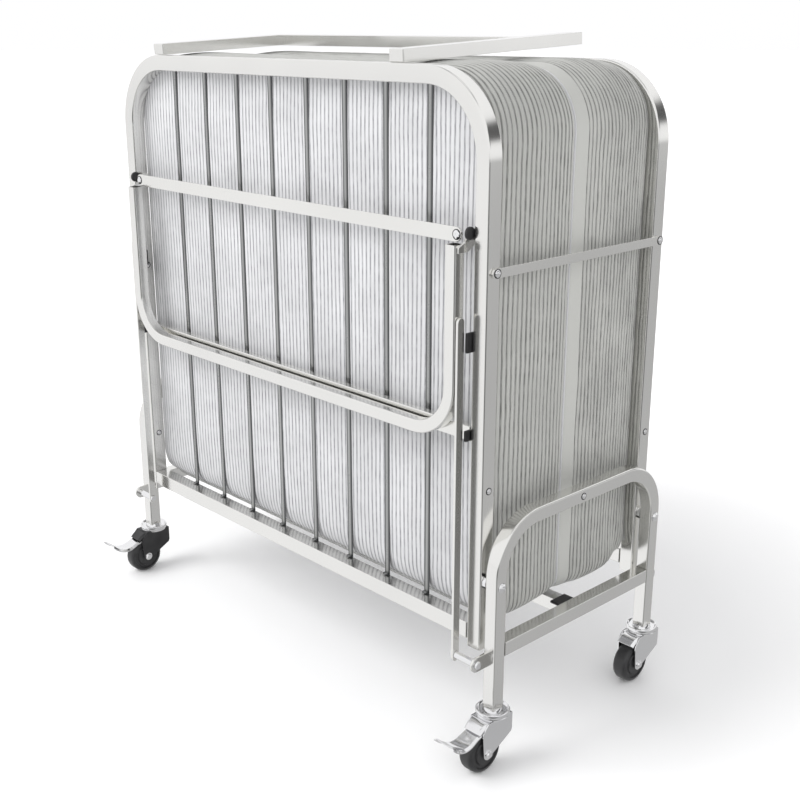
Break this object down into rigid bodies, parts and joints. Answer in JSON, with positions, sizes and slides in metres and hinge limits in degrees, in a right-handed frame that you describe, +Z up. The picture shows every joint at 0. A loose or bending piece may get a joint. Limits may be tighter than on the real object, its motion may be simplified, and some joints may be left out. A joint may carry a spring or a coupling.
{
  "type": "rollaway bed",
  "caption": "Folding bed on casters: two hinged tube decks with a striped mattress folded between arched end stands, swing legs and links.",
  "frame": {"origin": "on the floor, below the centre of the folded bed's box", "axes": "+X along the bed's width from the left end stand to the right one, +Y from the front deck to the rear deck, +Z up"},
  "size_m": [1.0974, 0.573, 1.1707],
  "materials": {
    "nickel_tube": "satin nickel plate on square steel tube",
    "nickel_bar": "satin nickel plate on flat steel bar",
    "zinc": "bright zinc plate on pressed steel",
    "strap_steel": "dull grey steel band",
    "caster_rubber": "black rubber tread on a black hub",
    "black_plastic": "black moulded bushes and covers",
    "ticking": "woven cotton ticking with fine blue-grey stripes"
  },
  "bodies": {
    "base": {"end_stand_right": "nickel_tube", "stand_rail_right": "nickel_tube", "end_stand_left": "nickel_tube", "stand_rail_left": "nickel_tube", "centre_cross_tube": "nickel_tube", "deck_pivot_front_right": "zinc", "link_pin_front_right": "zinc", "caster_race_front_right": "zinc", "deck_pivot_front_left": "zinc", "link_pin_front_left": "zinc", "caster_race_front_left": "zinc", "deck_pivot_rear_right": "zinc", "link_pin_rear_right": "zinc", "caster_race_rear_right": "zinc", "deck_pivot_rear_left": "zinc", "link_pin_rear_left": "zinc", "caster_race_rear_left": "zinc"},
    "deck_front": {"deck_frame_front": "nickel_tube", "deck_rail_front": "nickel_tube", "deck_cross_tube_front": "nickel_tube", "deck_straps_front": "strap_steel", "mattress_front": "ticking", "leg_pivot_front_right": "black_plastic", "leg_pivot_front_left": "black_plastic", "top_hoop": "nickel_tube"},
    "deck_rear": {"deck_frame_rear": "nickel_tube", "deck_rail_rear": "nickel_tube", "deck_cross_tube_rear": "nickel_tube", "deck_straps_rear": "strap_steel", "mattress_rear": "ticking", "leg_pivot_rear_right": "black_plastic", "leg_pivot_rear_left": "black_plastic"},
    "leg_front": {"leg_frame_front": "nickel_tube", "leg_brace_front": "nickel_bar"},
    "mattress_fold_front": {"mattress_bend_front": "ticking"},
    "leg_rear": {"leg_frame_rear": "nickel_tube", "leg_brace_rear": "nickel_bar"},
    "mattress_fold_rear": {"mattress_bend_rear": "ticking"},
    "link_front_right": {"link_bar_front_right": "nickel_bar"},
    "caster_front_right": {"caster_fork_front_right": "zinc", "caster_axle_front_right": "zinc"},
    "wheel_front_right": {"caster_wheel_front_right": "caster_rubber"},
    "link_front_left": {"link_bar_front_left": "nickel_bar"},
    "caster_front_left": {"caster_fork_front_left": "black_plastic", "caster_axle_front_left": "zinc"},
    "wheel_front_left": {"caster_wheel_front_left": "caster_rubber"},
    "link_rear_right": {"link_bar_rear_right": "nickel_bar"},
    "caster_rear_right": {"caster_fork_rear_right": "zinc", "caster_axle_rear_right": "zinc"},
    "wheel_rear_right": {"caster_wheel_rear_right": "caster_rubber"},
    "link_rear_left": {"link_bar_rear_left": "nickel_bar"},
    "caster_rear_left": {"caster_fork_rear_left": "zinc", "caster_axle_rear_left": "zinc"},
    "wheel_rear_left": {"caster_wheel_rear_left": "caster_rubber"},
    "pedal_front_right": {"brake_pedal_front_right": "zinc"},
    "pedal_front_left": {"brake_pedal_front_left": "zinc"},
    "latch": {"latch_bar": "nickel_bar"}
  },
  "joints": [
    {"name": "deck_front_fold", "type": "hinge", "parent": "base", "child": "deck_front", "pos_m": [0, -0.1745, 0.327], "axis": [1, 0, 0], "range_deg": [0, 90]},
    {"name": "leg_front_swing", "type": "hinge", "parent": "deck_front", "child": "leg_front", "pos_m": [0, -0.1745, 0.885], "axis": [-1, 0, 0], "range_deg": [0, 90]},
    {"name": "mattress_front_bend", "type": "hinge", "parent": "deck_front", "child": "mattress_fold_front", "pos_m": [0, -0.114, 0.2665], "axis": [-1, 0, 0], "range_deg": [0, 90]},
    {"name": "link_front_right_swing", "type": "hinge", "parent": "base", "child": "link_front_right", "pos_m": [0.4625, -0.2065, 0.192], "axis": [1, 0, 0], "range_deg": [0, 90]},
    {"name": "link_front_left_swing", "type": "hinge", "parent": "base", "child": "link_front_left", "pos_m": [-0.4625, -0.2065, 0.192], "axis": [1, 0, 0], "range_deg": [0, 90]},
    {"name": "deck_rear_fold", "type": "hinge", "parent": "base", "child": "deck_rear", "pos_m": [0, 0.2415, 0.327], "axis": [-1, 0, 0], "range_deg": [0, 90]},
    {"name": "leg_rear_swing", "type": "hinge", "parent": "deck_rear", "child": "leg_rear", "pos_m": [0, 0.2415, 0.885], "axis": [1, 0, 0], "range_deg": [0, 90]},
    {"name": "mattress_rear_bend", "type": "hinge", "parent": "deck_rear", "child": "mattress_fold_rear", "pos_m": [0, 0.181, 0.2665], "axis": [1, 0, 0], "range_deg": [0, 90]},
    {"name": "link_rear_right_swing", "type": "hinge", "parent": "base", "child": "link_rear_right", "pos_m": [0.4625, 0.2735, 0.192], "axis": [-1, 0, 0], "range_deg": [0, 90]},
    {"name": "link_rear_left_swing", "type": "hinge", "parent": "base", "child": "link_rear_left", "pos_m": [-0.4625, 0.2735, 0.192], "axis": [-1, 0, 0], "range_deg": [0, 90]},
    {"name": "latch_lift", "type": "hinge", "parent": "deck_front", "child": "latch", "pos_m": [0.5024, -0.1745, 0.831], "axis": [1, 0, 0], "range_deg": [0, 80]},
    {"name": "caster_front_right_swivel", "type": "hinge", "parent": "base", "child": "caster_front_right", "pos_m": [0.5207, -0.1745, 0.097], "axis": [0, 0, 1], "continuous": true},
    {"name": "wheel_front_right_roll", "type": "hinge", "parent": "caster_front_right", "child": "wheel_front_right", "pos_m": [0.5207, -0.2045, 0.0375], "axis": [1, 0, 0], "continuous": true},
    {"name": "pedal_front_right_press", "type": "hinge", "parent": "caster_front_right", "child": "pedal_front_right", "pos_m": [0.5207, -0.2085, 0.081], "axis": [1, 0, 0], "range_deg": [0, 10], "stiffness_Nm_per_rad": 3},
    {"name": "caster_front_left_swivel", "type": "hinge", "parent": "base", "child": "caster_front_left", "pos_m": [-0.5207, -0.1745, 0.097], "axis": [0, 0, 1], "continuous": true},
    {"name": "wheel_front_left_roll", "type": "hinge", "parent": "caster_front_left", "child": "wheel_front_left", "pos_m": [-0.5207, -0.2045, 0.0375], "axis": [1, 0, 0], "continuous": true},
    {"name": "pedal_front_left_press", "type": "hinge", "parent": "caster_front_left", "child": "pedal_front_left", "pos_m": [-0.5207, -0.2085, 0.081], "axis": [1, 0, 0], "range_deg": [0, 10], "stiffness_Nm_per_rad": 3},
    {"name": "caster_rear_right_swivel", "type": "hinge", "parent": "base", "child": "caster_rear_right", "pos_m": [0.5207, 0.2415, 0.097], "axis": [0, 0, 1], "continuous": true},
    {"name": "wheel_rear_right_roll", "type": "hinge", "parent": "caster_rear_right", "child": "wheel_rear_right", "pos_m": [0.5207, 0.2115, 0.0375], "axis": [1, 0, 0], "continuous": true},
    {"name": "caster_rear_left_swivel", "type": "hinge", "parent": "base", "child": "caster_rear_left", "pos_m": [-0.5207, 0.2415, 0.097], "axis": [0, 0, 1], "continuous": true},
    {"name": "wheel_rear_left_roll", "type": "hinge", "parent": "caster_rear_left", "child": "wheel_rear_left", "pos_m": [-0.5207, 0.2115, 0.0375], "axis": [1, 0, 0], "continuous": true}
  ],
  "couplings": [
    {"joint": "leg_front_swing", "follows": "deck_front_fold", "ratio": 1},
    {"joint": "mattress_front_bend", "follows": "deck_front_fold", "ratio": 1},
    {"joint": "link_front_right_swing", "follows": "deck_front_fold", "ratio": 1},
    {"joint": "link_front_left_swing", "follows": "deck_front_fold", "ratio": 1},
    {"joint": "deck_rear_fold", "follows": "deck_front_fold", "ratio": 1},
    {"joint": "leg_rear_swing", "follows": "deck_front_fold", "ratio": 1},
    {"joint": "mattress_rear_bend", "follows": "deck_front_fold", "ratio": 1},
    {"joint": "link_rear_right_swing", "follows": "deck_front_fold", "ratio": 1},
    {"joint": "link_rear_left_swing", "follows": "deck_front_fold", "ratio": 1}
  ]
}
